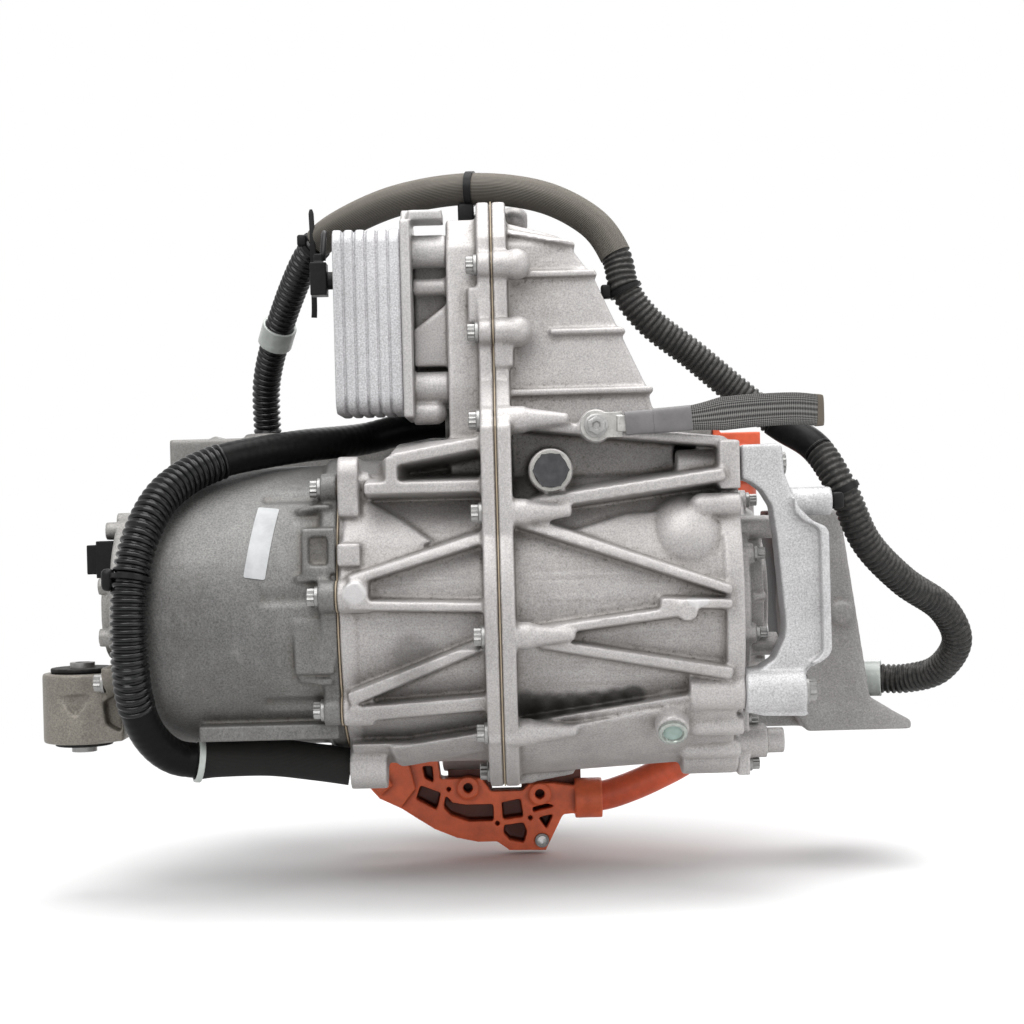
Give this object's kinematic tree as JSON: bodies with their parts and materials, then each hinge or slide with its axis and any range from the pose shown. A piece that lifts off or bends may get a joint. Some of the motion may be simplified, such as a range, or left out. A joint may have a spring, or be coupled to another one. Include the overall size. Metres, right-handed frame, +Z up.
{
  "type": "electric drive unit",
  "caption": "Electric vehicle drive unit: motor can, ribbed two-half gearcase with differential, inverter box, oil cooler, mounts and conduit harness.",
  "frame": {"origin": "centre of the mouth of the right output bore, on the differential axis", "axes": "+X along the shafts out of the right output, +Z up, the pictured front faces -Y"},
  "size_m": [0.7566, 0.441, 0.5761],
  "materials": {
    "cast_case": "sand-cast, grainy and slightly soiled",
    "cast_motor": "sand-cast, darker and soiled",
    "cast_bracket": "sand-cast, clean",
    "cast_inverter": "die-cast, matt",
    "cooler": "brazed plates, satin",
    "bolt_steel": "zinc-flake, dull",
    "gasket": "tan sealant bead",
    "rubber": "matt black rubber",
    "plug_steel": "dark zinc",
    "washer": "bright soft metal",
    "level_plug": "yellow-green passivated",
    "black_plastic": "moulded black",
    "black_conduit": "black corrugated plastic",
    "grey_conduit": "dusty corrugated plastic and braid",
    "collar": "pale grey-green plastic",
    "hv_orange": "orange-red moulded plastic",
    "strap": "tinned copper braid in a dark sleeve",
    "lamination": "stacked steel sheet",
    "copper": "varnished copper",
    "gear_steel": "ground and oiled",
    "diff_iron": "machined iron casting",
    "board": "green board",
    "potting": "potted black blocks"
  },
  "bodies": {
    "housing": {"gearcase_left": "cast_case", "gearcase_right": "cast_case", "input_cover": "cast_case", "motor_end_cover": "cast_case", "gallery_cap": "cast_case", "terminal_hood": "cast_case", "mount_arm": "cast_case", "motor_housing": "cast_motor", "mount_bracket": "cast_bracket", "inverter_housing": "cast_inverter", "inverter_cover": "cast_inverter", "cooler_stack": "cooler", "cooler_flange": "cooler", "coolant_ports": "cooler", "ground_lug": "cooler", "case_bolts": "bolt_steel", "motor_bolts": "bolt_steel", "cover_bolts": "bolt_steel", "bracket_bolts": "bolt_steel", "arm_bolts": "bolt_steel", "cooler_bolts": "bolt_steel", "inverter_bolts": "bolt_steel", "ground_bolt": "bolt_steel", "duct_sleeve": "bolt_steel", "bush_sleeve": "bolt_steel", "case_gaskets": "gasket", "bush_rubber": "rubber", "output_seals": "rubber", "fill_plug": "plug_steel", "fill_plug_washer": "washer", "level_plug": "level_plug", "cooler_sensor": "black_plastic", "resolver_connector": "black_plastic", "conduit_clips": "black_plastic", "motor_conduit": "black_conduit", "harness_conduit": "grey_conduit", "conduit_collars": "collar", "hv_connector": "hv_orange", "hv_duct": "hv_orange", "hv_tube": "hv_orange", "ground_strap": "strap", "stator_core": "lamination", "stator_windings": "copper", "phase_busbars": "copper", "bearing_outer_rings": "gear_steel", "bearing_balls": "gear_steel", "inverter_board": "board", "dc_link_capacitor": "potting", "power_modules": "potting"},
    "rotor": {"rotor_core": "lamination", "rotor_shaft": "gear_steel"},
    "layshaft": {"layshaft": "gear_steel", "layshaft_wheel": "gear_steel"},
    "differential": {"ring_gear": "gear_steel", "differential_case": "diff_iron", "cross_pin": "gear_steel"},
    "side_right": {"side_gear_right": "gear_steel"},
    "side_left": {"side_gear_left": "gear_steel"},
    "planet_a": {"planet_upper": "gear_steel"},
    "planet_b": {"planet_lower": "gear_steel"}
  },
  "joints": [
    {"name": "rotor_spin", "type": "hinge", "parent": "housing", "child": "rotor", "pos_m": [-0.112, -0.185, 0.06], "axis": [1, 0, 0], "continuous": true},
    {"name": "layshaft_spin", "type": "hinge", "parent": "housing", "child": "layshaft", "pos_m": [-0.112, -0.09413, 0.05521], "axis": [1, 0, 0], "continuous": true},
    {"name": "differential_spin", "type": "hinge", "parent": "housing", "child": "differential", "pos_m": [0, 0, 0], "axis": [1, 0, 0], "continuous": true},
    {"name": "right_output_spin", "type": "hinge", "parent": "differential", "child": "side_right", "pos_m": [0, 0, 0], "axis": [1, 0, 0], "continuous": true},
    {"name": "left_output_spin", "type": "hinge", "parent": "differential", "child": "side_left", "pos_m": [-0.192, 0, 0], "axis": [1, 0, 0], "continuous": true},
    {"name": "upper_planet_spin", "type": "hinge", "parent": "differential", "child": "planet_a", "pos_m": [-0.096, 0, 0], "axis": [0, 0, 1], "continuous": true},
    {"name": "lower_planet_spin", "type": "hinge", "parent": "differential", "child": "planet_b", "pos_m": [-0.096, 0, 0], "axis": [0, 0, 1], "continuous": true}
  ],
  "couplings": [
    {"joint": "layshaft_spin", "follows": "rotor_spin", "ratio": -0.35065},
    {"joint": "differential_spin", "follows": "rotor_spin", "ratio": 0.10899},
    {"joint": "left_output_spin", "follows": "right_output_spin", "ratio": -1},
    {"joint": "upper_planet_spin", "follows": "right_output_spin", "ratio": -1.4},
    {"joint": "lower_planet_spin", "follows": "right_output_spin", "ratio": 1.4}
  ]
}
